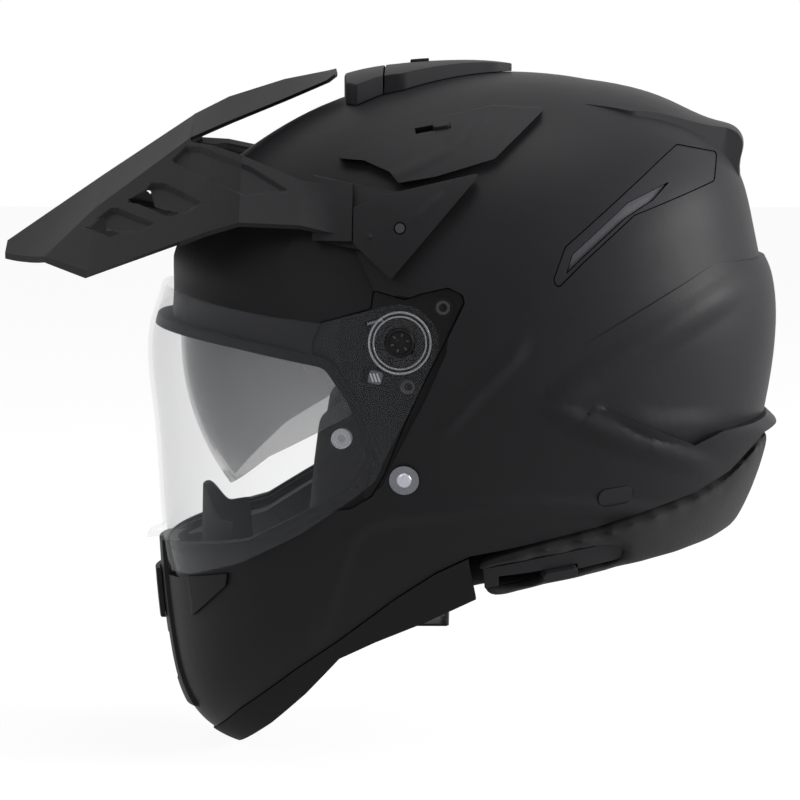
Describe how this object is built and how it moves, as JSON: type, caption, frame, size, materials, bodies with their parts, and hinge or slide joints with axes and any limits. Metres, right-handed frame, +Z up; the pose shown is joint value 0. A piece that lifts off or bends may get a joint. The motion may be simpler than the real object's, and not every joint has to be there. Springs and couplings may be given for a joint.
{
  "type": "dual sport helmet",
  "caption": "Full-face adventure riding helmet with a sun peak, lifting clear visor, drop-down tinted visor, sliding vents, padded lining and a chin strap with a micrometric buckle.",
  "frame": {"origin": "on the middle plane, on the axis that the clear visor turns about", "axes": "+X towards the wearer's left, +Y towards the back of the head, +Z up towards the crown"},
  "size_m": [0.2576, 0.3741, 0.3342],
  "materials": {
    "shell_paint": "matte",
    "trim_plastic": "matte",
    "grey_plastic": "satin",
    "clear_visor": "clear",
    "tinted_visor": "smoked",
    "mechanism": "gloss",
    "seal_rubber": "matte",
    "foam": "beaded",
    "lining": "knit",
    "webbing": "woven",
    "steel": "brushed",
    "dark_screw": "satin"
  },
  "bodies": {
    "helmet": {"outer_shell": "shell_paint", "peak_screws": "dark_screw", "eyeport_gasket": "seal_rubber", "visor_base_plate_left": "mechanism", "visor_base_plate_right": "mechanism", "base_plate_screws": "dark_screw", "pivot_hub_left": "mechanism", "pivot_hub_right": "mechanism", "visor_spring_left": "steel", "visor_spring_right": "steel", "sun_visor_pins": "mechanism", "eps_liner": "foam", "chin_eps": "foam", "crown_liner": "lining", "cheek_pad_left": "lining", "cheek_pad_right": "lining", "neck_roll": "lining", "rim_trim": "seal_rubber", "lever_housing": "trim_plastic", "chin_vent_body": "trim_plastic", "chin_lower_grille": "trim_plastic", "chin_side_inlet_left": "trim_plastic", "chin_side_inlet_right": "trim_plastic", "breath_guard": "seal_rubber", "chin_curtain": "webbing", "top_vent_nose": "trim_plastic", "top_vent_cover": "trim_plastic", "side_vent_cover_left": "trim_plastic", "side_vent_cover_right": "trim_plastic", "rear_extractor_left": "trim_plastic", "rear_extractor_right": "trim_plastic", "extractor_panel_left": "grey_plastic", "extractor_panel_right": "grey_plastic", "side_plugs": "trim_plastic", "strap_rivets": "steel", "strap_left": "webbing", "strap_right": "webbing", "buckle_body": "mechanism", "buckle_tongue": "steel"},
    "visor": {"visor_lens": "clear_visor", "insert_pins": "clear_visor", "visor_ring_left": "mechanism", "visor_ring_right": "mechanism"},
    "sun_visor": {"sun_visor": "tinted_visor"},
    "sun_slider": {"sun_visor_slider": "trim_plastic"},
    "peak": {"peak": "trim_plastic", "peak_plate_left": "trim_plastic", "peak_plate_right": "trim_plastic"},
    "top_vent": {"top_vent_slider": "trim_plastic"},
    "side_vent_left": {"side_vent_slider_left": "trim_plastic"},
    "side_vent_right": {"side_vent_slider_right": "trim_plastic"},
    "chin_vent": {"chin_vent_shutter": "trim_plastic"},
    "latch_left": {"visor_latch_left": "grey_plastic"},
    "latch_right": {"visor_latch_right": "grey_plastic"},
    "buckle_lever": {"buckle_lever": "mechanism"}
  },
  "joints": [
    {"name": "visor_hinge", "type": "hinge", "parent": "helmet", "child": "visor", "pos_m": [0, 0, 0], "axis": [-1, 0, 0], "range_deg": [0, 33]},
    {"name": "sun_visor_hinge", "type": "hinge", "parent": "helmet", "child": "sun_visor", "pos_m": [0, 0.01, -0.006], "axis": [-1, 0, 0], "range_deg": [0, 46]},
    {"name": "sun_visor_slide", "type": "slide", "parent": "helmet", "child": "sun_slider", "axis": [0.2604, -0.9528, -0.1563], "range_m": [0, 0.02]},
    {"name": "peak_tilt", "type": "hinge", "parent": "helmet", "child": "peak", "pos_m": [0, 0, 0.05203], "axis": [-1, 0, 0], "range_deg": [0, 3]},
    {"name": "top_vent_slide", "type": "slide", "parent": "helmet", "child": "top_vent", "axis": [0, -0.9965, -0.0841], "range_m": [0, 0.008]},
    {"name": "side_vent_slide_left", "type": "slide", "parent": "helmet", "child": "side_vent_left", "axis": [0.0457, -0.9865, -0.1575], "range_m": [0, 0.008]},
    {"name": "side_vent_slide_right", "type": "slide", "parent": "helmet", "child": "side_vent_right", "axis": [-0.0457, -0.9865, -0.1575], "range_m": [0, 0.008]},
    {"name": "chin_vent_slide", "type": "slide", "parent": "helmet", "child": "chin_vent", "axis": [0, -0.0775, 0.997], "range_m": [0, 0.006]},
    {"name": "latch_slide_left", "type": "slide", "parent": "helmet", "child": "latch_left", "axis": [-0.1142, -0.9735, 0.1981], "range_m": [0, 0.003], "stiffness_N_per_m": 200},
    {"name": "latch_slide_right", "type": "slide", "parent": "helmet", "child": "latch_right", "axis": [0.1142, -0.9735, 0.1981], "range_m": [0, 0.003], "stiffness_N_per_m": 200},
    {"name": "buckle_lever_hinge", "type": "hinge", "parent": "helmet", "child": "buckle_lever", "pos_m": [0.0406, 0.008, -0.13209], "axis": [0, 1, 0], "range_deg": [0, 25], "stiffness_Nm_per_rad": 0.05}
  ],
  "couplings": [
    {"joint": "sun_visor_slide", "follows": "sun_visor_hinge", "m_per_rad": 0.0249}
  ]
}
